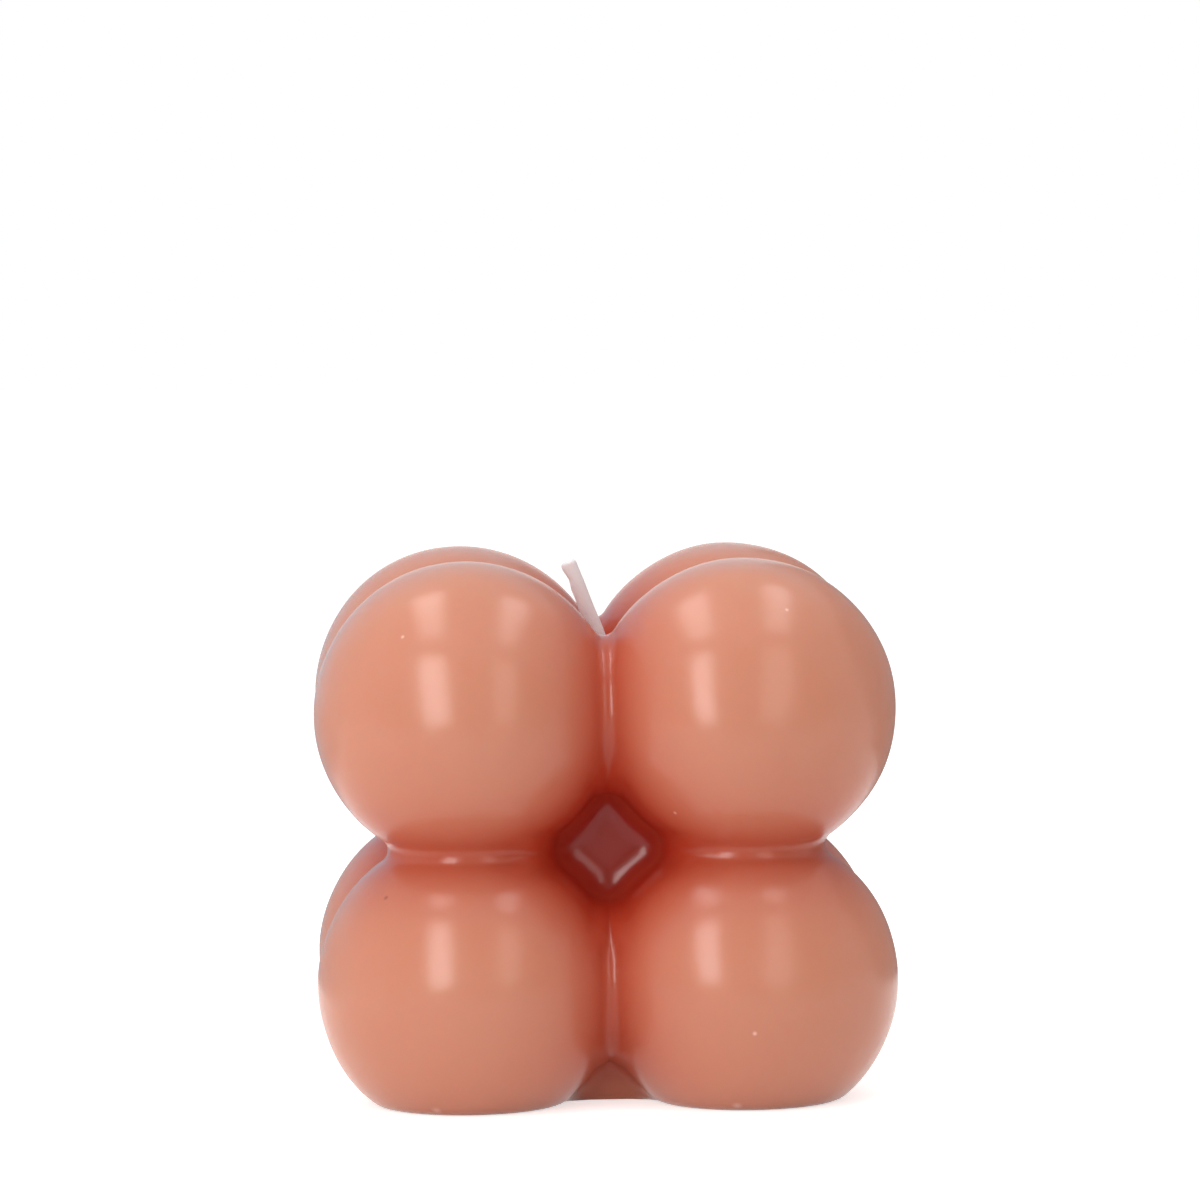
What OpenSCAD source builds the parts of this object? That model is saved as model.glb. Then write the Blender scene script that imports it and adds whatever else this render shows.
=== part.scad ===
// Bubble cube candle, cast in one piece around a single wick.
// Eight equal bubbles stand two by two by two. Small filleted necks fuse each bubble to its
// neighbours, and a block behind them closes the gaps: its flat faces show as a diamond
// between four bubbles, and as an arch between the two lower ones.
// The origin is the centre of the flat base, +Z is up, and the front faces -Y.

/* [Bubbles] */
// Radius of a bubble
bubble_r = 18.25; // [18:0.05:18.75]
// Distance between the centres of two bubbles side by side
pitch_xy = 33.5; // [33:0.1:34]
// Distance between the centres of two bubbles one above the other
pitch_z = 32.75; // [32:0.05:33.5]
// Height of the lower bubbles' centres above the flat base
base_h = 14.4; // [13.5:0.1:16]

/* [Blends] */
// Radius of the fillet round each neck between two bubbles
neck_fillet_r = 1.6; // [1.3:0.05:1.9]
// Radius of the hollow blend between a bubble and a flat face of the block
face_fillet_r = 2.1; // [1.8:0.05:2.4]
// Depth of the block's faces behind the centres of the bubbles
face_inset = 0.2; // [0.2:0.05:0.6]

/* [Wick] */
// Diameter of the waxed wick, and of the passage that it fills
wick_d = 1.9; // [1.5:0.1:2.5]
// How far the wick stands to the right of the candle's middle
wick_x = 0.8; // [0:0.1:2]
// Height at which the wick starts to lean
wick_bend_h = 49; // [48:0.5:51]
// Radius of the curve in the wick
wick_bend_r = 20; // [15:1:30]
// How far the wick leans to the left, in degrees
wick_lean = 21; // [10:1:30]
// Length of the straight end above the curve
wick_tip_len = 8.7; // [5:0.1:10]

/* [Hidden] */
$fn = 96;
wax_colour = [0.84, 0.56, 0.48];
wick_colour = [0.88, 0.81, 0.80];
// Half of each spacing, and the heights of the two layers of bubbles
half_xy = pitch_xy / 2;
half_z = pitch_z / 2;
low_z = base_h;
high_z = base_h + pitch_z;
mid_z = base_h + half_z;
// The block's half width and its height
block_half = half_xy - face_inset;
block_h = high_z - face_inset;
// A face blend meets the bubble and the face at this small angle, in degrees
blend_angle = 12;
// Centre of the face blend's arc: its height over the face and its distance from the bubble's axis
blend_z = face_fillet_r * cos(blend_angle);
blend_reach_sq = pow(bubble_r, 2) + pow(face_fillet_r, 2) + 2 * bubble_r * blend_z;
blend_x = sqrt(blend_reach_sq - pow(blend_z - face_inset, 2));
// How deep a collar is rooted in the block
root = 5;
// Swelling of the wick at the end of its curve, and how far either side stops short of its middle
swell_d = 1.06 * wick_d;
swell_gap = 0.08 * wick_d;
swell_turn = swell_gap / wick_bend_r * 180 / PI;
// Larger than the candle, for cutting
beyond = 100;

function both(value) = [-value, value];

// Radius at which a neck's arc is centred, for bubbles half a pitch either side
function neck_arc_x(half) = sqrt(pow(bubble_r + neck_fillet_r, 2) - half * half);

// Neck between two bubbles, along Z, with the middle at the origin
module neck(half) {
  rotate_extrude() {
    difference() {
      polygon([[0, -half], [neck_arc_x(half), 0], [0, half]]);
      translate([neck_arc_x(half), 0]) circle(r = neck_fillet_r);
    }
  }
}

// Collar that blends one bubble into a flat face at z = 0, about the bubble's axis
module collar() {
  rotate_extrude() {
    difference() {
      polygon([[0, -root], [blend_x, -root], [blend_x, blend_z], [0, face_inset]]);
      translate([blend_x, blend_z]) circle(r = face_fillet_r);
    }
  }
}

// Places its children at the centres of the eight bubbles
module at_bubbles() {
  for (x = both(half_xy), y = both(half_xy), z = [low_z, high_z]) {
    translate([x, y, z]) children();
  }
}

// The twelve necks: four upright, four from left to right and four from front to back
module necks() {
  for (x = both(half_xy), y = both(half_xy)) {
    translate([x, y, mid_z]) neck(half_z);
  }
  for (y = both(half_xy), z = [low_z, high_z]) {
    translate([0, y, z]) rotate([0, 90, 0]) neck(half_xy);
  }
  for (x = both(half_xy), z = [low_z, high_z]) {
    translate([x, 0, z]) rotate([90, 0, 0]) neck(half_xy);
  }
}

// Blends of the front face, kept between the axes of its bubbles
module side_blends() {
  intersection() {
    union() {
      for (x = both(half_xy), z = [low_z, high_z]) {
        translate([x, -block_half, z]) rotate([90, 0, 0]) collar();
      }
    }
    translate([-half_xy, -beyond, 0]) cube([pitch_xy, beyond, high_z]);
  }
}

// Blends of the top face, kept between the axes of its bubbles
module top_blends() {
  intersection() {
    union() {
      for (x = both(half_xy), y = both(half_xy)) {
        translate([x, y, block_h]) collar();
      }
    }
    translate([-half_xy, -half_xy, 0]) cube([pitch_xy, pitch_xy, beyond]);
  }
}

// Bubbles, block and necks, before the faces are blended
module bubble_block() {
  at_bubbles() sphere(r = bubble_r);
  translate([-block_half, -block_half, 0]) cube([2 * block_half, 2 * block_half, block_h]);
  necks();
}

// The cast wax, cut flat at the base, with the passage that the wick fills
module wax_body() {
  color(wax_colour) {
    difference() {
      union() {
        union() bubble_block();
        for (turn = [0, 90, 180, 270]) {
          rotate([0, 0, turn]) side_blends();
        }
        top_blends();
      }
      translate([-beyond / 2, -beyond / 2, -beyond]) cube(beyond);
      translate([wick_x, 0, -root]) cylinder(h = high_z + root, d = wick_d);
    }
  }
}

// The wick: straight up through the wax, a curve to the left and a straight cut end, with a
// slight swelling where the curve and the end meet inside it
module wick() {
  color(wick_colour) {
    translate([wick_x, 0, 0]) cylinder(h = wick_bend_h, d = wick_d);
    translate([wick_x - wick_bend_r, 0, wick_bend_h]) rotate([90, 0, 0]) {
      rotate_extrude(angle = wick_lean - swell_turn) translate([wick_bend_r, 0]) circle(d = wick_d);
      rotate([0, 0, wick_lean]) translate([wick_bend_r, 0, 0]) {
        sphere(d = swell_d);
        translate([0, swell_gap, 0]) rotate([-90, 0, 0]) cylinder(h = wick_tip_len - swell_gap, d = wick_d);
      }
    }
  }
}

wax_body();
wick();
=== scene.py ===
"""Bubble cube candle in cast wax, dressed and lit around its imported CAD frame.

The candle is one casting: eight fused bubbles round a block, on a flat base, with one waxed
cotton wick. All sizes in the classes are in millimetres, and meshes are written in metres.
"""

from __future__ import annotations

import logging
import math
from dataclasses import dataclass
from enum import Enum
from itertools import product

import bpy
import numpy as np
from mathutils import Matrix, Vector

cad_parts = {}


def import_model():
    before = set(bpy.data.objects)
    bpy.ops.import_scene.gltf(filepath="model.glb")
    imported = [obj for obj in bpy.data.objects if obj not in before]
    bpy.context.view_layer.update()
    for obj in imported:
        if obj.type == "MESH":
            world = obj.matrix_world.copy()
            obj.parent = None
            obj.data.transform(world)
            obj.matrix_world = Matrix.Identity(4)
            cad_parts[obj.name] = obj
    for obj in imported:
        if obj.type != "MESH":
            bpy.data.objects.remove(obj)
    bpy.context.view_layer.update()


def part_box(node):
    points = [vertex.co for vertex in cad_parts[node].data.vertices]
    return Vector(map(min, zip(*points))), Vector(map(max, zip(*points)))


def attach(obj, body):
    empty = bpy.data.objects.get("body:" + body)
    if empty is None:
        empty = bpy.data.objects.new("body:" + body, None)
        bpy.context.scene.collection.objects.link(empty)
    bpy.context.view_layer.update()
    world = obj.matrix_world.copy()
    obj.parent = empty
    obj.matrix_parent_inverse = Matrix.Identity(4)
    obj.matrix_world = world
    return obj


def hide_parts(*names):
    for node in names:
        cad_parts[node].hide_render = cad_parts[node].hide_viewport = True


LOG = logging.getLogger("bubble_candle")
MM = 0.001
PAINTED_FOLD_SHADE = "fold"
Triple = tuple[float, float, float]
ColourAndPaintedShade = tuple[tuple[float, Triple], ...]


class Part(Enum):
    """Names of the pieces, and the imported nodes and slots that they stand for."""

    WAX = ("cast_wax", "wax_body", "wax")
    WICK = ("waxed_wick", "wick", "wick")

    @property
    def piece(self) -> str:
        """Name of the visible piece."""
        return self.value[0]

    @property
    def node(self) -> str:
        """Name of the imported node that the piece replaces."""
        return self.value[1]

    @property
    def slot(self) -> str:
        """Material slot of the record that the piece stands for."""
        return self.value[2]


def link(obj: bpy.types.Object) -> bpy.types.Object:
    """Puts an object into the scene.

    Args:
        obj: The new object.

    Returns:
        The same object.
    """
    bpy.context.scene.collection.objects.link(obj)
    return obj


def baked(source: bpy.types.Object, name: str) -> bpy.types.Object:
    """Turns an object with live modifiers into a plain mesh object and removes the source.

    Args:
        source: The object whose evaluated mesh is kept.
        name: Name of the plain object.

    Returns:
        The plain mesh object, at the origin and without modifiers.
    """
    depsgraph = bpy.context.evaluated_depsgraph_get()
    mesh = bpy.data.meshes.new_from_object(source.evaluated_get(depsgraph), depsgraph=depsgraph)
    mesh.name = name
    bpy.data.objects.remove(source, do_unlink=True)
    return link(bpy.data.objects.new(name, mesh))


def vertices_of(mesh: bpy.types.Mesh) -> np.ndarray:
    """Reads a mesh's vertices, in millimetres.

    Args:
        mesh: The mesh to read.

    Returns:
        An array of shape (count, 3).
    """
    flat = np.empty(len(mesh.vertices) * 3)
    mesh.vertices.foreach_get("co", flat)
    return flat.reshape(-1, 3) / MM


def set_vertices(mesh: bpy.types.Mesh, points: np.ndarray) -> None:
    """Writes a mesh's vertices.

    Args:
        mesh: The mesh to change.
        points: New places in millimetres, shape (count, 3).
    """
    mesh.vertices.foreach_set("co", (points * MM).ravel())
    mesh.update()


def quad(name: str, corners: list[Vector | Triple]) -> bpy.types.Mesh:
    """Makes a mesh of one flat face.

    Args:
        name: Name of the mesh.
        corners: Its four corners in metres, in order.

    Returns:
        The mesh.
    """
    mesh = bpy.data.meshes.new(name)
    mesh.from_pydata(corners, [], [(0, 1, 2, 3)])
    return mesh


def smooth_step(value: np.ndarray) -> np.ndarray:
    """Eases a value from 0 to 1, and holds it outside.

    Args:
        value: Numbers to ease.

    Returns:
        Numbers from 0 to 1, of the same shape.
    """
    held = np.clip(value, 0, 1)
    return held * held * (3 - 2 * held)


class NodeTree:
    """Thin helper that adds and joins nodes of one tree."""

    def __init__(self, tree: bpy.types.NodeTree) -> None:
        """Keeps the tree that nodes are added to."""
        self.tree = tree

    def add(self, kind: str, settings: dict | None = None, **inputs: object) -> bpy.types.Node:
        """Adds a node.

        Args:
            kind: Type name of the node.
            settings: Properties of the node itself, such as its operation.
            **inputs: Socket values or source sockets, with underscores for spaces.

        Returns:
            The new node.
        """
        node = self.tree.nodes.new(kind)
        for key, value in (settings or {}).items():
            setattr(node, key, value)
        for key, value in inputs.items():
            self.feed(node, key.replace("_", " "), value)
        return node

    def feed(self, node: bpy.types.Node, key: str | int, value: object) -> None:
        """Sets a node's input, or joins a source socket to it.

        Args:
            node: The node that takes the value.
            key: The input's name or index.
            value: A plain value, or the output socket to join.
        """
        if isinstance(value, bpy.types.NodeSocket):
            self.tree.links.new(value, node.inputs[key])
        else:
            node.inputs[key].default_value = value

    def math(self, operation: str, *values: object) -> bpy.types.NodeSocket:
        """Adds a Math node.

        Args:
            operation: The node's operation.
            *values: Numbers or sockets, in order.

        Returns:
            The node's output socket.
        """
        node = self.add("ShaderNodeMath", {"operation": operation})
        for index, value in enumerate(values):
            self.feed(node, index, value)
        return node.outputs[0]

    def vector(self, operation: str, *values: object) -> bpy.types.Node:
        """Adds a Vector Math node.

        Args:
            operation: The node's operation.
            *values: Vectors or sockets, in order.

        Returns:
            The node.
        """
        node = self.add("ShaderNodeVectorMath", {"operation": operation})
        for index, value in enumerate(values):
            self.feed(node, index, value)
        return node


def new_material(name: str) -> tuple[bpy.types.Material, NodeTree]:
    """Makes a material without nodes.

    Args:
        name: Name of the material.

    Returns:
        The material, and the helper that adds nodes to it.
    """
    material = bpy.data.materials.new(name)
    material.use_nodes = True
    material.node_tree.nodes.clear()
    return material, NodeTree(material.node_tree)


class Geometry(NodeTree):
    """A Geometry Nodes tree with named inputs, for one modifier."""

    def __init__(self, name: str) -> None:
        """Makes an empty tree with one geometry output.

        Args:
            name: Name of the tree and of its modifier.
        """
        super().__init__(bpy.data.node_groups.new(name, "GeometryNodeTree"))
        ports = self.tree.interface
        ports.new_socket("Geometry", in_out="OUTPUT", socket_type="NodeSocketGeometry")
        self.values: dict[str, object] = {}
        self.source = None

    def inputs(self, values: dict[str, object]) -> dict[str, bpy.types.NodeSocket]:
        """Adds the named inputs.

        Args:
            values: Value of each input by its name. An int, a float, a vector or a material.

        Returns:
            The sockets that give these values inside the tree.
        """
        kinds = {int: "NodeSocketInt", float: "NodeSocketFloat", tuple: "NodeSocketVector"}
        for name, value in values.items():
            kind = kinds.get(type(value), "NodeSocketMaterial")
            self.tree.interface.new_socket(name, in_out="INPUT", socket_type=kind)
        self.values = dict(values)
        self.source = self.add("NodeGroupInput")
        return {name: self.source.outputs[name] for name in values}

    def finish(self, geometry: bpy.types.NodeSocket, material: bpy.types.NodeSocket) -> None:
        """Ends the tree in Realize Instances and Set Material.

        Args:
            geometry: The geometry made so far.
            material: The socket that gives the material.
        """
        realized = self.add("GeometryNodeRealizeInstances", Geometry=geometry)
        dressed = self.add("GeometryNodeSetMaterial", Geometry=realized.outputs[0],
                           Material=material)
        self.add("NodeGroupOutput", Geometry=dressed.outputs[0])

    def put_on(self, obj: bpy.types.Object) -> bpy.types.Object:
        """Puts the tree on a new object as a modifier, with its inputs set.

        Args:
            obj: A new object, which isn't in the scene yet.

        Returns:
            The same object, in the scene and with the modifier still live.
        """
        link(obj)
        modifier = obj.modifiers.new(self.tree.name, "NODES")
        modifier.node_group = self.tree
        for item in self.tree.interface.items_tree:
            if item.in_out == "INPUT" and item.name in self.values:
                modifier[item.identifier] = self.values[item.name]
        return obj


@dataclass(frozen=True)
class CastSurface:
    """The candle's outer surface: bubbles and block, blended as a rolling ball would.

    A ball of the blend's radius rolls over the bubbles and the block. Where it can't reach, the
    wax fills the space up to the ball. So a point's place on the surface follows from the
    nearest centre that such a ball may have.

    The rim is the rounded edge of the flat base. A ball that cuts no more than
    the slack into a bubble or the block still counts as free. The probe is the step in which a
    slope is measured.
    """

    bubble_r: float
    half_xy: float
    low_z: float
    high_z: float
    block_half: float
    block_h: float
    blend_r: float
    rim_r: float = 0.45
    slack: float = 1e-4
    probe: float = 1e-3
    least_slope: float = 0.2

    @property
    def reach(self) -> float:
        """Distance from a bubble's centre to the ball's centre."""
        return self.bubble_r + self.blend_r

    def bubbles(self) -> np.ndarray:
        """Centres of the eight bubbles, shape (8, 3)."""
        side = (-self.half_xy, self.half_xy)
        return np.array(list(product(side, side, (self.low_z, self.high_z))))

    def faces(self) -> list[tuple[np.ndarray, float]]:
        """Lists the planes that the ball's centre keeps to on the block's faces.

        Returns:
            Each plane's normal and its offset from the origin.
        """
        sides = [(np.array(n, float), self.block_half + self.blend_r)
                 for n in ((1, 0, 0), (-1, 0, 0), (0, 1, 0), (0, -1, 0))]
        return sides + [(np.array((0.0, 0.0, 1.0)), self.block_h + self.blend_r)]

    def circles(self) -> list[tuple[np.ndarray, np.ndarray, float]]:
        """Lists the circles that the ball's centre runs along in the creases.

        Returns:
            Each circle's centre, axis and radius.
        """
        found = []
        centres = self.bubbles()
        for i, one in enumerate(centres):
            for other in centres[i + 1:]:
                gap = other - one
                half = np.linalg.norm(gap) / 2
                if half < self.reach:
                    radius = math.sqrt(self.reach**2 - half**2)
                    found.append(((one + other) / 2, gap / (2 * half), radius))
            for normal, offset in self.faces():
                away = offset - one @ normal
                if abs(away) < self.reach:
                    radius = math.sqrt(self.reach**2 - away**2)
                    found.append((one + away * normal, normal, radius))
        return found

    def corners(self) -> np.ndarray:
        """Finds where the ball touches two bubbles and a face at once.

        Returns:
            The ball's centres there, shape (count, 3).
        """
        found = []
        for centre, axis, radius in self.circles():
            if np.count_nonzero(np.abs(axis) > 0.5) != 1:
                continue
            for normal, offset in self.faces():
                away = offset - centre @ normal
                if abs(axis @ normal) > 0.5 or abs(away) > radius:
                    continue
                along = np.cross(axis, normal) * math.sqrt(radius**2 - away**2)
                found += [centre + away * normal + along, centre + away * normal - along]
        return np.array(found)

    def is_free(self, places: np.ndarray) -> np.ndarray:
        """Tells where a ball may stand without cutting the bubbles or the block.

        Args:
            places: Centres to test, shape (count, 3).

        Returns:
            A mask of shape (count,).
        """
        free = np.ones(len(places), bool)
        for centre in self.bubbles():
            free &= np.linalg.norm(places - centre, axis=1) > self.reach - self.slack
        over = np.stack([np.abs(places[:, 0]) - self.block_half,
                         np.abs(places[:, 1]) - self.block_half,
                         places[:, 2] - self.block_h], axis=1)
        from_block = np.linalg.norm(np.maximum(over, 0), axis=1)
        return free & (from_block > self.blend_r - self.slack)

    def ball_centres(self, points: np.ndarray) -> np.ndarray:
        """Finds the nearest place for the rolling ball's centre.

        Args:
            points: Points near the surface, shape (count, 3).

        Returns:
            The centres, shape (count, 3).
        """
        best = points.copy()
        least = np.full(len(points), np.inf)

        def offer(places: np.ndarray) -> None:
            """Keeps each place that is free and nearer than the best so far.

            Args:
                places: One place for each point, shape (count, 3).
            """
            far = np.linalg.norm(places - points, axis=1)
            better = (far < least) & self.is_free(places)
            best[better] = places[better]
            least[better] = far[better]

        for centre in self.bubbles():
            out = points - centre
            offer(centre + out * (self.reach / np.linalg.norm(out, axis=1))[:, None])
        for normal, offset in self.faces():
            offer(points + (offset - points @ normal)[:, None] * normal)
        for centre, axis, radius in self.circles():
            out = points - centre
            out -= (out @ axis)[:, None] * axis
            offer(centre + out * (radius / np.linalg.norm(out, axis=1))[:, None])
        for corner in self.corners():
            offer(np.broadcast_to(corner, points.shape))
        return best

    def distance(self, points: np.ndarray) -> np.ndarray:
        """Signed distance to the blended surface with its flat base, negative inside.

        Args:
            points: Points near the surface, shape (count, 3).

        Returns:
            Distances, shape (count,).
        """
        from_ball = np.linalg.norm(points - self.ball_centres(points), axis=1)
        over = np.stack([self.blend_r - from_ball, -points[:, 2]], axis=1) + self.rim_r
        outside = np.linalg.norm(np.maximum(over, 0), axis=1)
        return np.minimum(over.max(axis=1), 0) + outside - self.rim_r

    def settle(self, points: np.ndarray, rim_height: float = 2.5, rounds: int = 4) -> np.ndarray:
        """Moves points onto the surface.

        Args:
            points: Points near the surface, shape (count, 3).
            rim_height: Points under this height are settled with the rounded rim.
            rounds: How often those are corrected.

        Returns:
            The settled points, shape (count, 3).
        """
        centres = self.ball_centres(points)
        inward = points - centres
        settled = centres + inward * (self.blend_r / np.linalg.norm(inward, axis=1))[:, None]
        low = points[:, 2] < rim_height
        near = points[low]
        for _ in range(rounds):
            here = self.distance(near)
            slope = np.stack([self.distance(near + step) - self.distance(near - step)
                              for step in self.probe * np.eye(3)], axis=1) / (2 * self.probe)
            size = np.maximum((slope**2).sum(axis=1), self.least_slope)
            near = near - (here / size)[:, None] * slope
        settled[low] = near
        return settled


@dataclass
class CastWax:
    """The wax body: one casting of eight bubbles, small necks, a block and a flat base.

    Each blend_r is the radius of a hollow blend: round the necks, round the diamonds, along the
    fullest edge of the front diamond, and at the arches. A reach says how far from a diamond's
    middle its blend goes, and a fade over what width it gives way to the necks' blend. The
    arches' blend is whole up to one height and gone from the other. The folds between the
    bubbles get a painted shade, and up to floor_light_reach above the base that painted shade is
    weaker, as painted light from the floor below.
    """

    bubble_r: float = 18.25
    low_z: float = 14.4
    face_inset: float = 0.2
    neck_blend_r: float = 1.6
    diamond_blend_r: float = 2.95
    diamond_reach: float = 13.0
    diamond_fade: float = 5.0
    full_blend_r: float = 3.4
    full_reach: float = 12.0
    full_fade: float = 4.0
    full_spread: float = 2.4
    arch_blend_r: float = 2.8
    arch_full_h: float = 4.5
    arch_none_h: float = 9.0
    voxel: float = 0.63
    wave_depth: float = 0.022
    wave_length: float = 15.0
    wave_spread: tuple[float, float] = (0.6, 1.5)
    wave_count: int = 9
    wave_start_h: float = 1.8
    seed: int = 5
    meniscus_h: float = 0.5
    meniscus_w: float = 0.5
    fold_shade_full: float = 18.4
    floor_light_paler: float = 0.5
    floor_light_reach: float = 5.5

    def surface(self, blend_r: float) -> CastSurface:
        """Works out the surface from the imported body's box.

        Args:
            blend_r: Radius of the hollow blends.

        Returns:
            The blended surface that the mesh settles on.
        """
        low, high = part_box(Part.WAX.node)
        half_xy = (high[0] - low[0]) / (2 * MM) - self.bubble_r
        high_z = high[2] / MM - self.bubble_r
        return CastSurface(
            bubble_r=self.bubble_r,
            half_xy=half_xy,
            low_z=self.low_z,
            high_z=high_z,
            block_half=half_xy - self.face_inset,
            block_h=high_z - self.face_inset,
            blend_r=blend_r,
        )

    def near_diamonds(
        self, points: np.ndarray, surface: CastSurface
    ) -> tuple[np.ndarray, np.ndarray]:
        """Tells how near points are to one of the five diamonds, and to the fullest edge.

        Args:
            points: Places on the surface, shape (count, 3).
            surface: Sizes of the casting.

        Returns:
            Two arrays of shares from 0 to 1, shape (count,): all round a diamond, and along the
            lower left edge of the front one, where more wax stayed in the mould's corner.
        """
        out = points - np.array((0.0, 0.0, (surface.low_z + surface.high_z) / 2))
        whole, full = np.zeros((2, len(points)))
        for axis, depth in enumerate((np.abs(out[:, 0]), np.abs(out[:, 1]), out[:, 2])):
            one, two = np.delete(out, axis, axis=1).T
            aside = np.hypot(one, two) + surface.slack
            faces_out = depth > surface.half_xy / 2
            share = smooth_step((self.diamond_reach - aside) / self.diamond_fade)
            whole = np.maximum(whole, faces_out * share)
            if axis == 1:
                lower_left = smooth_step(0.5 - (one + two) / aside / self.full_spread)
                near = smooth_step((self.full_reach - aside) / self.full_fade)
                full = faces_out * (out[:, 1] < 0) * lower_left * near
        return whole, full

    def near_arches(self, points: np.ndarray) -> np.ndarray:
        """Tells how near points are to the base, where the arches stand between the bubbles."""
        fade = self.arch_none_h - self.arch_full_h
        return smooth_step((self.arch_none_h - points[:, 2]) / fade)

    def settled(self, points: np.ndarray) -> np.ndarray:
        """Moves points onto the casting, whose blends widen at the diamonds and the arches.

        Args:
            points: Points near the surface, shape (count, 3).

        Returns:
            The settled points, shape (count, 3).
        """
        necks = self.surface(self.neck_blend_r)
        result = necks.settle(points)
        whole, full = self.near_diamonds(points, necks)
        zones = ((self.diamond_blend_r, whole), (self.full_blend_r, full),
                 (self.arch_blend_r, self.near_arches(points)))
        for blend_r, share in zones:
            some = share > 0
            other = self.surface(blend_r).settle(points[some])
            result[some] += share[some, None] * (other - result[some])
        return result

    def lattice(self, surface: CastSurface, material: bpy.types.Material) -> Geometry:
        """Builds the tree that repeats the bubble at the corners of a lattice, round the block.

        Args:
            surface: Sizes of the casting.
            material: The wax.

        Returns:
            The tree, ready for a modifier.
        """
        tree = Geometry("bubble_lattice")
        rise = surface.high_z - surface.low_z
        block_w = 2 * surface.block_half * MM
        given = tree.inputs({
            "Bubble Radius": surface.bubble_r * MM,
            "Pitch": 2 * surface.half_xy * MM,
            "Rise": (0.0, 0.0, rise * MM),
            "Base Height": (0.0, 0.0, surface.low_z * MM),
            "Block Size": (block_w, block_w, surface.block_h * MM),
            "Block Place": (0.0, 0.0, surface.block_h * MM / 2),
            "Material": material,
        })
        floor_plan = tree.add("GeometryNodeMeshGrid", Size_X=given["Pitch"], Size_Y=given["Pitch"],
                              Vertices_X=2, Vertices_Y=2)
        column = tree.add("GeometryNodeMeshLine", {"mode": "OFFSET"}, Count=2,
                          Start_Location=given["Base Height"], Offset=given["Rise"])
        corners = tree.add("GeometryNodeInstanceOnPoints", Points=column.outputs[0],
                           Instance=floor_plan.outputs[0])
        lattice = tree.add("GeometryNodeRealizeInstances", Geometry=corners.outputs[0])
        bubble = tree.add("GeometryNodeMeshIcoSphere", Radius=given["Bubble Radius"],
                          Subdivisions=6)
        bubbles = tree.add("GeometryNodeInstanceOnPoints", Points=lattice.outputs[0],
                           Instance=bubble.outputs[0])
        solid = tree.add("GeometryNodeRealizeInstances", Geometry=bubbles.outputs[0])
        place = tree.add("GeometryNodeInputPosition")
        parts = tree.add("ShaderNodeSeparateXYZ", Vector=place.outputs[0])
        flat = tree.add("ShaderNodeCombineXYZ", X=parts.outputs[0], Y=parts.outputs[1],
                        Z=tree.math("MAXIMUM", parts.outputs[2], 0.0))
        cut = tree.add("GeometryNodeSetPosition", Geometry=solid.outputs[0],
                       Position=flat.outputs[0])
        block = tree.add("GeometryNodeMeshCube", Size=given["Block Size"])
        stood = tree.add("GeometryNodeTransform", Geometry=block.outputs[0],
                         Translation=given["Block Place"])
        joined = tree.add("GeometryNodeJoinGeometry")
        tree.feed(joined, 0, cut.outputs[0])
        tree.feed(joined, 0, stood.outputs[0])
        tree.finish(joined.outputs[0], given["Material"])
        return tree

    def waves(self, points: np.ndarray) -> np.ndarray:
        """Height of the slight unevenness that a hand-poured casting has.

        Args:
            points: Places on the surface, shape (count, 3).

        Returns:
            Heights in millimetres, shape (count,).
        """
        rng = np.random.default_rng(self.seed)
        height = np.zeros(len(points))
        for _ in range(self.wave_count):
            direction = rng.normal(size=3)
            length = self.wave_length * rng.uniform(*self.wave_spread)
            turn = points @ (direction / np.linalg.norm(direction)) * (2 * math.pi / length)
            height += np.sin(turn + rng.uniform(0, 2 * math.pi)) * length / self.wave_length
        return height * self.wave_depth

    def folds(self, points: np.ndarray, surface: CastSurface) -> np.ndarray:
        """Tells how deep points lie in the folds between the bubbles, which sets the painted shade
        there.

        Args:
            points: Places on the surface, shape (count, 3).
            surface: Sizes of the casting.

        Returns:
            Shares from 0, on the candle's outside, to 1, deep in a fold, shape (count,).
        """
        half = np.array((surface.half_xy, surface.half_xy, (surface.high_z - surface.low_z) / 2))
        over = np.abs(points - (0, 0, (surface.low_z + surface.high_z) / 2)) - half
        outside = np.linalg.norm(np.maximum(over, 0), axis=1) + np.minimum(over.max(axis=1), 0)
        depth = surface.bubble_r - outside
        # Painted light from the floor: the painted shade in the folds is weaker near the base.
        floor_light_factor = 1 - self.floor_light_paler * smooth_step(1 - points[:, 2] / self.floor_light_reach)
        return np.clip(depth / self.fold_shade_full, 0, 1) * floor_light_factor

    def meniscus(self, points: np.ndarray, wick: Wick) -> np.ndarray:
        """Height of the wax that climbs round the wick where it leaves the top face.

        Args:
            points: Places on the surface, shape (count, 3).
            wick: The wick.

        Returns:
            Heights in millimetres, shape (count,).
        """
        away = np.hypot(points[:, 0] - wick.stand_x(), points[:, 1]) - wick.thickness / 2
        top = points[:, 2] > wick.bend_h / 2
        return np.where(top, self.meniscus_h * np.exp(-np.maximum(away, 0) / self.meniscus_w), 0)

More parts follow.
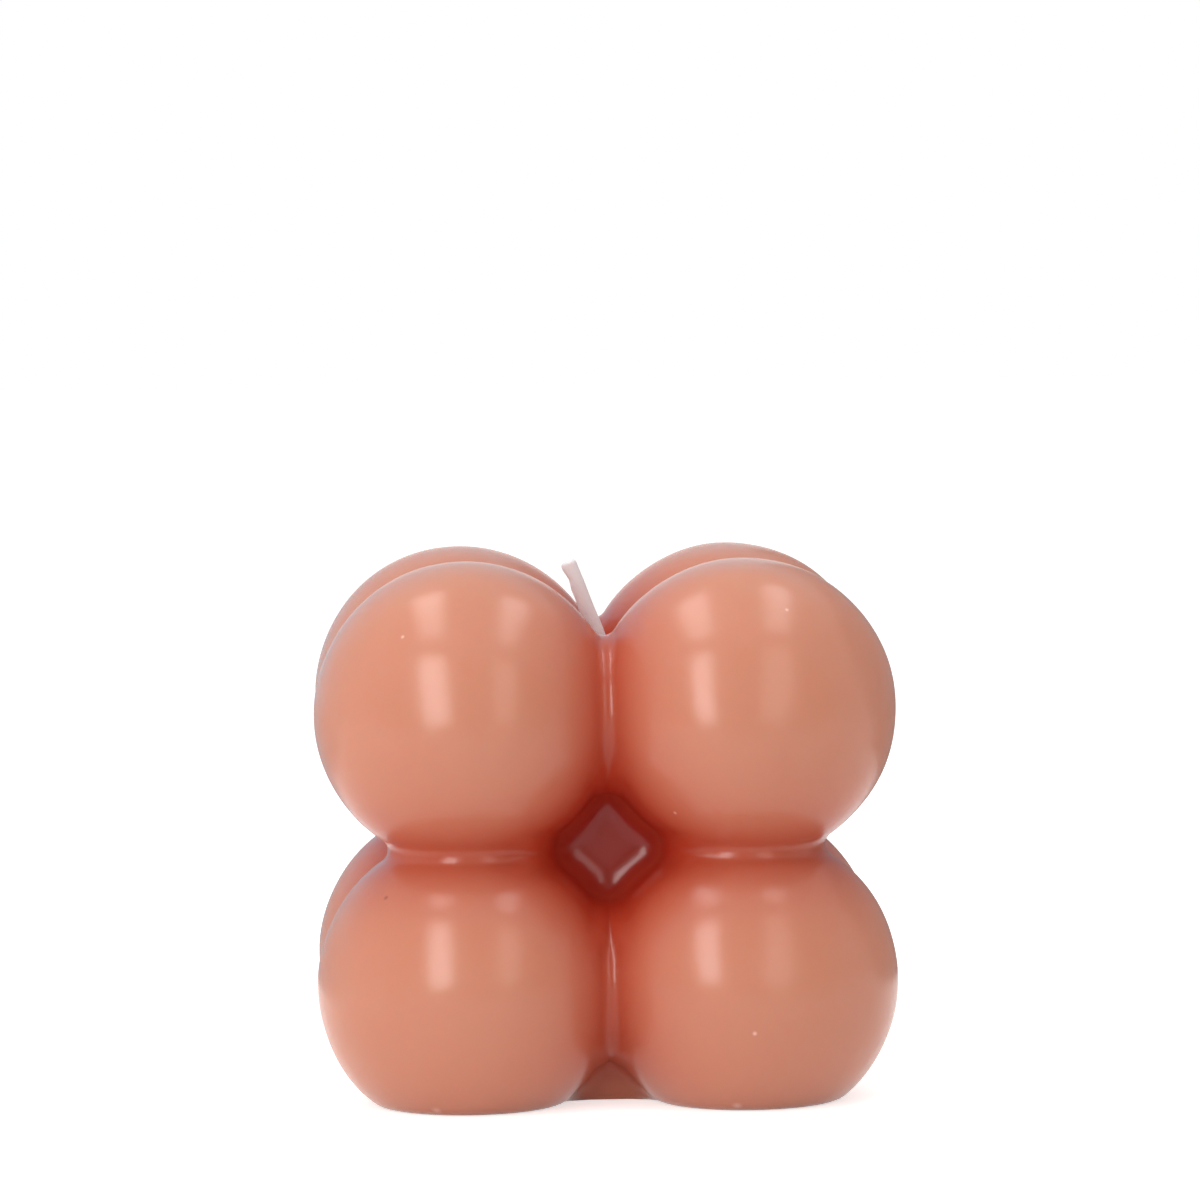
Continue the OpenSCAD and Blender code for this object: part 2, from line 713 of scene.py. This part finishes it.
    def make(self, material: bpy.types.Material, wick: Wick) -> None:
        """Makes the wax body and puts it in its node's place.

        Args:
            material: The wax.
            wick: The wick that the wax holds.
        """
        surface = self.surface(self.neck_blend_r)
        empty = bpy.data.objects.new("bubble_lattice", bpy.data.meshes.new("bubble_lattice"))
        raw = self.lattice(surface, material).put_on(empty)
        remesh = raw.modifiers.new("even_faces", "REMESH")
        remesh.mode = "VOXEL"
        remesh.voxel_size = self.voxel * MM
        piece = baked(raw, Part.WAX.piece)
        mesh = piece.data
        points = self.settled(vertices_of(mesh))
        set_vertices(mesh, points)
        normals = np.empty(len(mesh.vertices) * 3)
        mesh.vertex_normals.foreach_get("vector", normals)
        normals = normals.reshape(-1, 3)
        fade = np.clip(points[:, 2] / self.wave_start_h, 0, 1)
        points = points + normals * (self.waves(points) * fade)[:, None]
        points[:, 2] += self.meniscus(points, wick)
        low, high = (np.array(side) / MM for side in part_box(Part.WAX.node))
        set_vertices(mesh, np.clip(points, low, high))
        # Fold depth, which the wax's colour ramp turns into painted shade in the folds.
        fold = mesh.attributes.new(PAINTED_FOLD_SHADE, "FLOAT", "POINT")
        fold.data.foreach_set("value", self.folds(points, surface))
        mesh.materials.clear()
        mesh.materials.append(material)
        mesh.shade_smooth()
        dress(piece, Part.WAX)


@dataclass
class Wick:
    """The waxed cotton wick: straight up through the wax, leaning left above it.

    The braid turns by so many radians a millimetre. Each swelling is given by its x, its z, its
    reach and its height.
    """

    thickness: float = 1.9
    bend_h: float = 49.0
    bend_r: float = 20.0
    lean_deg: float = 21.0
    tip_len: float = 8.7
    tip_round: float = 0.35
    tip_rings: int = 6
    relief: float = 0.02
    braid_turns: float = 1.45
    strands: int = 4
    around: int = 48
    step: float = 0.2
    lumps: float = 0.1
    lump_scale: float = 380.0
    seed: int = 11
    swells: tuple[tuple[float, float, float, float], ...] = (
        (-4.32, 63.4, 0.9, 0.12),
        (-3.72, 61.9, 1.3, -0.17),
        (-1.9, 58.3, 1.5, 0.06),
    )

    def stand_x(self) -> float:
        """How far right of the middle the wick stands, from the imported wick's right side."""
        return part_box(Part.WICK.node)[1][0] / MM - self.thickness / 2

    def route(self) -> list[tuple[Vector, float]]:
        """Lists points along the wick's middle line, from the base to the tip.

        Returns:
            Points in metres, each with the share of the full thickness that the wick has there.
        """
        x = self.stand_x()
        lean = math.radians(self.lean_deg)
        points = [(Vector((x, 0, height)), 1.0) for height in np.arange(0, self.bend_h, self.step)]
        arcs = round(self.bend_r * lean / self.step)
        for turn in np.linspace(0, lean, arcs, endpoint=False):
            side = x - self.bend_r * (1 - math.cos(turn))
            points.append((Vector((side, 0, self.bend_h + self.bend_r * math.sin(turn))), 1.0))
        bend_end = Vector((x - self.bend_r * (1 - math.cos(lean)), 0,
                           self.bend_h + self.bend_r * math.sin(lean)))
        way = Vector((-math.sin(lean), 0, math.cos(lean)))
        points += [(bend_end + way * along, 1.0)
                   for along in np.arange(0, self.tip_len - self.tip_round, self.step)]
        for turn in np.linspace(0, math.pi / 2, self.tip_rings):
            along = self.tip_len - self.tip_round * (1 - math.sin(turn))
            narrower = self.tip_round * (1 - math.cos(turn))
            points.append((bend_end + way * along, 1 - 2 * narrower / self.thickness))
        return [(place * MM, share) for place, share in points]

    def sweep(self, material: bpy.types.Material) -> Geometry:
        """Builds the tree that sweeps a braided section along the wick's route.

        Args:
            material: The waxed cotton.

        Returns:
            The tree, for a modifier on the route's curve.
        """
        tree = Geometry("braided_wick")
        tree.tree.interface.new_socket("Route", in_out="INPUT", socket_type="NodeSocketGeometry")
        given = tree.inputs({
            "Radius": (self.thickness / 2 - self.relief) * MM,
            "Relief": self.relief * MM,
            "Strands": float(self.strands),
            "Braid Turns": self.braid_turns / MM,
            "Lumps": self.lumps * MM,
            "Lump Scale": self.lump_scale,
            "Seed": float(self.seed),
            "Material": material,
        })
        ring = tree.add("GeometryNodeCurvePrimitiveCircle", Resolution=self.around,
                        Radius=given["Radius"])
        along = tree.add("GeometryNodeSplineParameter")
        kept = self.capture(tree, tree.source.outputs["Route"], along.outputs["Length"])
        turned = self.capture(tree, ring.outputs[0], along.outputs["Factor"])
        share = tree.add("GeometryNodeInputRadius")
        tube = tree.add("GeometryNodeCurveToMesh", Curve=kept.outputs[0],
                        Profile_Curve=turned.outputs[0], Scale=share.outputs[0], Fill_Caps=True)
        turn = tree.math("MULTIPLY", turned.outputs[1], 2 * math.pi)
        spin = tree.math("MULTIPLY", turn, given["Strands"])
        climb = tree.math("MULTIPLY", kept.outputs[1], given["Braid Turns"])
        one = tree.math("ABSOLUTE", tree.math("SINE", tree.math("ADD", spin, climb)))
        two = tree.math("ABSOLUTE", tree.math("SINE", tree.math("SUBTRACT", spin, climb)))
        lift = tree.math("MULTIPLY", tree.math("MAXIMUM", one, two), given["Relief"])
        noise = tree.add("ShaderNodeTexNoise", {"noise_dimensions": "4D"}, Detail=1.0,
                         Scale=given["Lump Scale"], W=given["Seed"])
        lump = tree.math("MULTIPLY", tree.math("SUBTRACT", noise.outputs[0], 0.5), given["Lumps"])
        lift = tree.math("ADD", lift, lump)
        place = tree.add("GeometryNodeInputPosition").outputs[0]
        for x, z, reach, height in self.swells:
            away = tree.vector("DISTANCE", place, (x * MM, 0.0, z * MM)).outputs["Value"]
            swell = tree.add("ShaderNodeMapRange", {"interpolation_type": "SMOOTHSTEP"}, Value=away,
                             From_Min=0.0, From_Max=reach * MM, To_Min=height * MM, To_Max=0.0)
            lift = tree.math("ADD", lift, swell.outputs[0])
        outward = tree.vector("SCALE", tree.add("GeometryNodeInputNormal").outputs[0])
        tree.feed(outward, "Scale", lift)
        shaped = tree.add("GeometryNodeSetPosition", Geometry=tube.outputs[0],
                          Offset=outward.outputs[0])
        tree.finish(shaped.outputs[0], given["Material"])
        return tree

    @staticmethod
    def capture(
        tree: Geometry, curve: bpy.types.NodeSocket, value: bpy.types.NodeSocket
    ) -> bpy.types.Node:
        """Keeps a value of a curve's points for the mesh that is swept from it.

        Args:
            tree: The tree that is built.
            curve: The curve.
            value: The value to keep.

        Returns:
            The capture node: its first output is the curve and its second the value.
        """
        node = tree.add("GeometryNodeCaptureAttribute")
        node.capture_items.new("FLOAT", "Kept")
        tree.feed(node, 0, curve)
        tree.feed(node, 1, value)
        return node

    def make(self, material: bpy.types.Material) -> None:
        """Makes the wick and puts it in its node's place.

        Args:
            material: The waxed cotton.
        """
        curve = bpy.data.curves.new("wick_route", "CURVE")
        curve.dimensions = "3D"
        spline = curve.splines.new("POLY")
        route = self.route()
        spline.points.add(len(route) - 1)
        for point, (place, share) in zip(spline.points, route):
            point.co = (*place, 1)
            point.radius = share
        raw = self.sweep(material).put_on(bpy.data.objects.new("wick_route", curve))
        piece = baked(raw, Part.WICK.piece)
        low, high = (np.array(side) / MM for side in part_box(Part.WICK.node))
        set_vertices(piece.data, np.clip(vertices_of(piece.data), low, high))
        piece.data.shade_smooth()
        dress(piece, Part.WICK)


def dress(piece: bpy.types.Object, part: Part) -> None:
    """Hides the imported node that a piece replaces, and sets what the piece rides on.

    Args:
        piece: The finished piece.
        part: What it is.
    """
    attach(piece, "root")
    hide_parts(part.node)
    LOG.info("%s: %d faces", piece.name, len(piece.data.polygons))


def cast_film() -> bpy.types.ShaderNodeTree:
    """Builds the group that gives cast wax its cloudy tint, its uneven gloss and its ripples.

    Returns:
        The group, with Cloud, Gloss and Height outputs that change over the surface.
    """
    group = bpy.data.node_groups.new("cast_film", "ShaderNodeTree")
    ports = group.interface
    for name in ("Cloud Scale", "Ripple Scale", "Ripple"):
        ports.new_socket(name, in_out="INPUT", socket_type="NodeSocketFloat")
    for name in ("Cloud", "Gloss", "Height"):
        ports.new_socket(name, in_out="OUTPUT", socket_type="NodeSocketFloat")
    tree = NodeTree(group)
    given = tree.add("NodeGroupInput")
    place = tree.add("ShaderNodeTexCoord").outputs["Object"]
    cloud = tree.add("ShaderNodeTexNoise", Vector=place, Scale=given.outputs["Cloud Scale"],
                     Detail=3.0, Roughness=0.55)
    fine = tree.add("ShaderNodeTexNoise", Vector=place, Scale=given.outputs["Ripple Scale"],
                    Detail=2.0, Roughness=0.5)
    height = tree.math("MULTIPLY", fine.outputs[0], given.outputs["Ripple"])
    tree.add("NodeGroupOutput", Cloud=cloud.outputs[0], Gloss=fine.outputs[0], Height=height)
    return group


def cast_spot() -> bpy.types.ShaderNodeTree:
    """Builds the group that masks a small round place on a piece.

    Returns:
        The group, with Place and Reach inputs in metres and a Mask output.
    """
    group = bpy.data.node_groups.new("cast_spot", "ShaderNodeTree")
    group.interface.new_socket("Place", in_out="INPUT", socket_type="NodeSocketVector")
    group.interface.new_socket("Reach", in_out="INPUT", socket_type="NodeSocketFloat")
    group.interface.new_socket("Mask", in_out="OUTPUT", socket_type="NodeSocketFloat")
    tree = NodeTree(group)
    given = tree.add("NodeGroupInput")
    here = tree.add("ShaderNodeTexCoord").outputs["Object"]
    away = tree.vector("DISTANCE", here, given.outputs["Place"]).outputs["Value"]
    mask = tree.add("ShaderNodeMapRange", {"interpolation_type": "SMOOTHSTEP"}, Value=away,
                    From_Min=0.0, From_Max=given.outputs["Reach"], To_Min=1.0, To_Max=0.0)
    tree.add("NodeGroupOutput", Mask=mask.outputs[0])
    return group


class Mark(Enum):
    """Kinds of small marks in the wax, by their colour."""

    BUBBLE = (0.95, 0.62, 0.52)
    SPECK = (0.28, 0.10, 0.07)
    CHIP = (0.93, 0.60, 0.50)


@dataclass(frozen=True)
class Flaw:
    """One small mark in the wax, with its place and reach in millimetres."""

    mark: Mark
    place: Triple
    reach: float
    strength: float = 0.8


@dataclass(frozen=True)
class WaxFinish:
    """Cast candle wax: semi-gloss, slightly translucent, with faint clouds and ripples.

    The colour ramp gives the wax's own colour on the outside and a painted shade by depth in the
    folds, from 0 outside to 1 deep inside. The light that scatters goes scatter_mm deep in red,
    and the tint's share of that in green and blue. The index of refraction is low, for a soft
    sheen.
    """

    name: str
    colour_and_painted_shade: ColourAndPaintedShade
    cloud_tint: Triple
    roughness: float
    gloss_change: float
    scatter: float
    scatter_mm: float
    scatter_tint: Triple
    cloud_scale: float
    ripple_scale: float
    ripple: float
    film: bpy.types.ShaderNodeTree
    spot: bpy.types.ShaderNodeTree
    flaws: tuple[Flaw, ...] = ()
    crinkle_place: Triple = (0.0, 0.0, 0.0)
    crinkle_reach: float = 0.0
    crinkle: float = 0.0
    crinkle_scale: float = 1100.0
    ior: float = 1.35

    def masked(self, tree: NodeTree, place: Triple, reach: float) -> bpy.types.NodeSocket:
        """Adds the mask of a round place.

        Args:
            tree: The material that is built.
            place: Middle of the place, in millimetres.
            reach: How far the mask reaches, in millimetres.

        Returns:
            The mask's socket.
        """
        spot = tree.add("ShaderNodeGroup", {"node_tree": self.spot}, Reach=reach * MM,
                        Place=tuple(value * MM for value in place))
        return spot.outputs["Mask"]

    def build(self) -> bpy.types.Material:
        """Builds the material.

        Returns:
            The new material.
        """
        material, tree = new_material(self.name)
        material.diffuse_color = (*self.colour_and_painted_shade[0][1], 1)
        film = tree.add("ShaderNodeGroup", {"node_tree": self.film}, Cloud_Scale=self.cloud_scale,
                        Ripple_Scale=self.ripple_scale, Ripple=self.ripple)
        # Painted shade: the colour ramp darkens the base colour by the depth in the folds.
        fold = tree.add("ShaderNodeAttribute", {"attribute_name": PAINTED_FOLD_SHADE}).outputs["Fac"]
        ramp = tree.add("ShaderNodeValToRGB", Fac=fold)
        stops = ramp.color_ramp.elements
        stops.remove(stops[1])
        for depth, colour in self.colour_and_painted_shade[1:]:
            stops.new(depth).color = (*colour, 1)
        stops[0].position, stops[0].color = self.colour_and_painted_shade[0][0], (*self.colour_and_painted_shade[0][1], 1)
        tint = tree.add("ShaderNodeMix", {"data_type": "RGBA", "blend_type": "MULTIPLY"})
        tree.feed(tint, 0, film.outputs["Cloud"])
        tree.feed(tint, 6, ramp.outputs[0])
        tree.feed(tint, 7, (*self.cloud_tint, 1))
        base = tint.outputs[2]
        for flaw in self.flaws:
            marked = tree.add("ShaderNodeMix", {"data_type": "RGBA"})
            share = tree.math("MULTIPLY", self.masked(tree, flaw.place, flaw.reach), flaw.strength)
            tree.feed(marked, 0, share)
            tree.feed(marked, 6, base)
            tree.feed(marked, 7, (*flaw.mark.value, 1))
            base = marked.outputs[2]
        gloss = tree.add("ShaderNodeMapRange", Value=film.outputs["Gloss"],
                         To_Min=self.roughness - self.gloss_change,
                         To_Max=self.roughness + self.gloss_change)
        height = film.outputs["Height"]
        if self.crinkle:
            here = tree.add("ShaderNodeTexCoord").outputs["Object"]
            fine = tree.add("ShaderNodeTexNoise", Vector=here, Scale=self.crinkle_scale, Detail=1.0)
            patch = self.masked(tree, self.crinkle_place, self.crinkle_reach)
            depth = tree.math("MULTIPLY", patch, self.crinkle)
            crinkled = tree.math("MULTIPLY", depth, fine.outputs[0])
            height = tree.math("ADD", height, crinkled)
        bump = tree.add("ShaderNodeBump", Height=height, Strength=1.0, Distance=MM)
        shader = tree.add("ShaderNodeBsdfPrincipled", Base_Color=base, Roughness=gloss.outputs[0],
                          Normal=bump.outputs[0], IOR=self.ior, Subsurface_Weight=self.scatter,
                          Subsurface_Radius=self.scatter_tint,
                          Subsurface_Scale=self.scatter_mm * MM)
        tree.add("ShaderNodeOutputMaterial", Surface=shader.outputs[0])
        return material


class Sight(Enum):
    """What a lamp does, as its diffuse and glossy visibility: it lights, or it is a highlight."""

    SOFT = (True, False)
    GLINT = (False, True)


@dataclass(frozen=True)
class Panel:
    """A rectangular lamp that looks at the candle, given by the directions of its two ends."""

    name: str
    sight: Sight
    start: Triple
    end: Triple
    width_deg: float
    brightness: float
    distance: float = 230.0

    def make(self, target: Vector) -> None:
        """Makes the lamp.

        Args:
            target: The point that it faces, in metres.
        """
        start, end = Vector(self.start).normalized(), Vector(self.end).normalized()
        away = (start + end).normalized()
        along = (end - start - (end - start).dot(away) * away).normalized()
        lamp = bpy.data.lights.new(self.name, "AREA")
        lamp.shape = "RECTANGLE"
        lamp.size = 2 * self.distance * MM * math.tan(math.radians(self.width_deg) / 2)
        lamp.size_y = 2 * self.distance * MM * math.tan(start.angle(end) / 2)
        lamp.energy = self.brightness * math.pi * lamp.size * lamp.size_y
        obj = link(bpy.data.objects.new(self.name, lamp))
        turn = Matrix((along.cross(away), along, away)).transposed().to_4x4()
        obj.matrix_world = Matrix.Translation(target + away * self.distance * MM) @ turn
        obj.visible_camera = False
        obj.visible_diffuse, obj.visible_glossy = self.sight.value


@dataclass(frozen=True)
class Card:
    """A grey card round the candle, which shows in reflections only.

    It takes no light away and the camera doesn't see it. The cards beside, behind and above the
    candle give the wax its darker outlines, and the one in front keeps the folds from
    looking milky.
    """

    name: str
    direction: Triple
    width: float
    height: float
    grey: Triple
    distance: float = 500.0

    def make(self, target: Vector) -> None:
        """Makes the card.

        Args:
            target: The point that it faces, in metres.
        """
        away = Vector(self.direction).normalized()
        middle = target + away * self.distance * MM
        side = Vector((0, 0, 1)).cross(away).normalized() * self.width * MM / 2
        up = away.cross(side).normalized() * self.height * MM / 2
        low, high = middle - up, middle + up
        mesh = quad(self.name, [low - side, low + side, high + side, high - side])
        material, tree = new_material(self.name)
        glow = tree.add("ShaderNodeEmission", Color=(*self.grey, 1))
        tree.add("ShaderNodeOutputMaterial", Surface=glow.outputs[0])
        mesh.materials.append(material)
        card = link(bpy.data.objects.new(self.name, mesh))
        card.visible_camera = card.visible_diffuse = card.visible_shadow = False
        card.visible_transmission = False


@dataclass
class Studio:
    """Pale floor, white surroundings, soft lamps and the camera at the photograph's angle."""

    target: Triple = (0.0, 0.0, 34.0)
    floor_size: float = 6000.0
    floor_albedo: float = 0.92
    floor_lift: float = 0.62
    sky: float = 0.58
    camera_place: Triple = (-29.21, -769.87, 108.08)
    yaw_deg: float = 2.1886
    pitch_deg: float = 3.6119
    roll_deg: float = -0.7365
    lens: float = 188.64
    sensor: float = 36.0
    panels: tuple[Panel, ...] = (
        Panel("left_strip", Sight.GLINT, (-0.40, -0.92, -0.03), (-0.42, -0.60, 0.68), 16, 9.8),
        Panel("left_top_strip", Sight.GLINT, (-0.365, -0.43, 0.82), (-0.33, 0.25, 0.91), 15, 5.4),
        Panel("right_strip", Sight.GLINT, (0.36, -0.93, -0.03), (0.38, -0.62, 0.68), 17, 2.9),
        Panel("right_top_strip", Sight.GLINT, (0.355, -0.45, 0.82), (0.32, 0.24, 0.91), 12, 4.7),
        Panel("left_softbox", Sight.SOFT, (-0.7, -0.65, 0.0), (-0.5, -0.55, 0.7), 60, 1.4, 600.0),
        Panel("top_softbox", Sight.SOFT, (0.0, -0.6, 0.8), (0.0, 0.4, 0.9), 60, 1.0, 600.0),
    )
    cards: tuple[Card, ...] = (
        Card("left_card", (-0.72, 0.69, 0.05), 470.0, 500.0, (0.42, 0.76, 0.94), 350.0),
        Card("right_card", (0.72, 0.69, 0.05), 470.0, 500.0, (0.28, 0.33, 0.37), 350.0),
        Card("left_low_card", (-0.66, 0.75, -0.16), 190.0, 60.0, (0.42, 0.60, 0.70), 130.0),
        Card("right_low_card", (0.66, 0.75, -0.16), 190.0, 60.0, (0.24, 0.28, 0.30), 130.0),
        Card("top_card", (0.0, 0.829, 0.559), 700.0, 310.0, (0.50, 0.84, 1.0)),
        Card("front_card", (0.0, -1.0, 0.0), 1000.0, 600.0, (0.72, 0.58, 0.38), 260.0),
    )

    @staticmethod
    def is_seen(tree: NodeTree) -> bpy.types.NodeSocket:
        """Adds a mask of the rays that show the surroundings: camera, glossy and transmission rays.

        Args:
            tree: The tree that is built.

        Returns:
            A socket that is 1 for such rays and 0 for the light that falls on the candle.
        """
        rays = tree.add("ShaderNodeLightPath").outputs
        seen = tree.math("ADD", rays["Is Camera Ray"], rays["Is Glossy Ray"])
        return tree.math("MINIMUM", tree.math("ADD", seen, rays["Is Transmission Ray"]), 1.0)

    def make_floor(self) -> None:
        """Makes the white floor, which keeps the candle's soft shadow."""
        half = self.floor_size * MM / 2
        corners = [(-half, -half, 0), (half, -half, 0), (half, half, 0), (-half, half, 0)]
        mesh = quad("floor", corners)
        floor = link(bpy.data.objects.new("floor", mesh))
        material, tree = new_material("white_floor")
        albedo = (self.floor_albedo,) * 3 + (1,)
        diffuse = tree.add("ShaderNodeBsdfDiffuse", Color=albedo)
        lift = tree.math("MULTIPLY", self.is_seen(tree), self.floor_lift)
        glow = tree.add("ShaderNodeEmission", Strength=lift)
        both = tree.add("ShaderNodeAddShader")
        tree.feed(both, 0, diffuse.outputs[0])
        tree.feed(both, 1, glow.outputs[0])
        tree.add("ShaderNodeOutputMaterial", Surface=both.outputs[0])
        mesh.materials.append(material)

    def make_sky(self) -> None:
        """Makes the surroundings: white where they are seen, at a plain level where they light."""
        world = bpy.data.worlds.new("white_room")
        bpy.context.scene.world = world
        world.use_nodes = True
        world.node_tree.nodes.clear()
        tree = NodeTree(world.node_tree)
        level = tree.add("ShaderNodeMix", {"data_type": "FLOAT"})
        tree.feed(level, 0, self.is_seen(tree))
        tree.feed(level, 2, self.sky)
        tree.feed(level, 3, 1.0)
        back = tree.add("ShaderNodeBackground", Color=(1.0, 1.0, 1.0, 1.0),
                        Strength=level.outputs[0])
        tree.add("ShaderNodeOutputWorld", Surface=back.outputs[0])

    def make_camera(self) -> None:
        """Makes the camera at the photograph's place and angle."""
        yaw, pitch, roll = (math.radians(v) for v in (self.yaw_deg, self.pitch_deg, self.roll_deg))
        ahead = Vector((
            math.sin(yaw) * math.cos(pitch),
            math.cos(yaw) * math.cos(pitch),
            -math.sin(pitch),
        ))
        level = Vector((math.cos(yaw), -math.sin(yaw), 0))
        raised = level.cross(ahead)
        right = math.cos(roll) * level + math.sin(roll) * raised
        up = math.cos(roll) * raised - math.sin(roll) * level
        data = bpy.data.cameras.new("camera")
        data.sensor_width = self.sensor
        data.lens = self.lens
        camera = link(bpy.data.objects.new("camera", data))
        turn = Matrix((right, up, -ahead)).transposed().to_4x4()
        camera.matrix_world = Matrix.Translation(Vector(self.camera_place) * MM) @ turn
        bpy.context.scene.camera = camera

    def make(self) -> None:
        """Builds the whole studio."""
        self.make_camera()
        self.make_floor()
        self.make_sky()
        for item in (*self.panels, *self.cards):
            item.make(Vector(self.target) * MM)
        bpy.context.scene.view_settings.view_transform = "Standard"
        LOG.info("studio: %d lamps and %d cards", len(self.panels), len(self.cards))


# The wax's own colour at fold depth 0, then painted shade, darker deeper in the folds.
WAX_COLOUR_AND_PAINTED_SHADE: ColourAndPaintedShade = (
    (0.0, (0.662, 0.275, 0.176)),
    (0.125, (0.642, 0.242, 0.151)),
    (0.30, (0.595, 0.176, 0.107)),
    (0.48, (0.540, 0.107, 0.057)),
    (0.60, (0.485, 0.060, 0.026)),
    (0.77, (0.440, 0.032, 0.012)),
    (0.92, (0.430, 0.042, 0.021)),
    (0.99, (0.350, 0.022, 0.013)),
)
WAX_FLAWS: tuple[Flaw, ...] = (
    Flaw(Mark.BUBBLE, (-24.27, -29.91, 57.33), 0.35),
    Flaw(Mark.BUBBLE, (21.19, -29.17, 59.77), 0.35),
    Flaw(Mark.BUBBLE, (16.50, -34.50, 10.13), 0.40),
    Flaw(Mark.BUBBLE, (7.73, -27.79, 35.75), 0.35, 0.5),
    Flaw(Mark.SPECK, (-26.72, -26.58, 26.12), 0.45),
    Flaw(Mark.CHIP, (14.63, -28.83, 0.60), 0.9, 0.6),
    Flaw(Mark.CHIP, (-21.13, -28.17, 0.55), 0.9, 0.6),
)
CRINKLE_PLACE: Triple = (11.61, -33.53, 19.43)


def main() -> None:
    """Builds the studio, the finishes and the two pieces, in that order."""
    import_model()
    Studio().make()
    film, spot = cast_film(), cast_spot()
    wax = WaxFinish(
        name="rose_wax",
        colour_and_painted_shade=WAX_COLOUR_AND_PAINTED_SHADE,
        cloud_tint=(0.97, 0.94, 0.93),
        roughness=0.24,
        gloss_change=0.02,
        scatter=0.6,
        scatter_mm=2.0,
        scatter_tint=(1.0, 0.3, 0.15),
        cloud_scale=60.0,
        ripple_scale=260.0,
        ripple=0.03,
        film=film,
        spot=spot,
        flaws=WAX_FLAWS,
        crinkle_place=CRINKLE_PLACE,
        crinkle_reach=4.5,
        crinkle=0.012,
    ).build()
    cotton = WaxFinish(
        name="waxed_cotton",
        colour_and_painted_shade=((0.0, (0.92, 0.90, 0.91)),),
        cloud_tint=(0.95, 0.94, 0.94),
        roughness=0.5,
        gloss_change=0.06,
        scatter=0.3,
        scatter_mm=0.8,
        scatter_tint=(1.0, 0.85, 0.8),
        cloud_scale=300.0,
        ripple_scale=2400.0,
        ripple=0.04,
        film=film,
        spot=spot,
    ).build()
    wick = Wick()
    CastWax().make(wax, wick)
    wick.make(cotton)


if __name__ == "__main__":
    logging.basicConfig(level=logging.INFO)
    main()
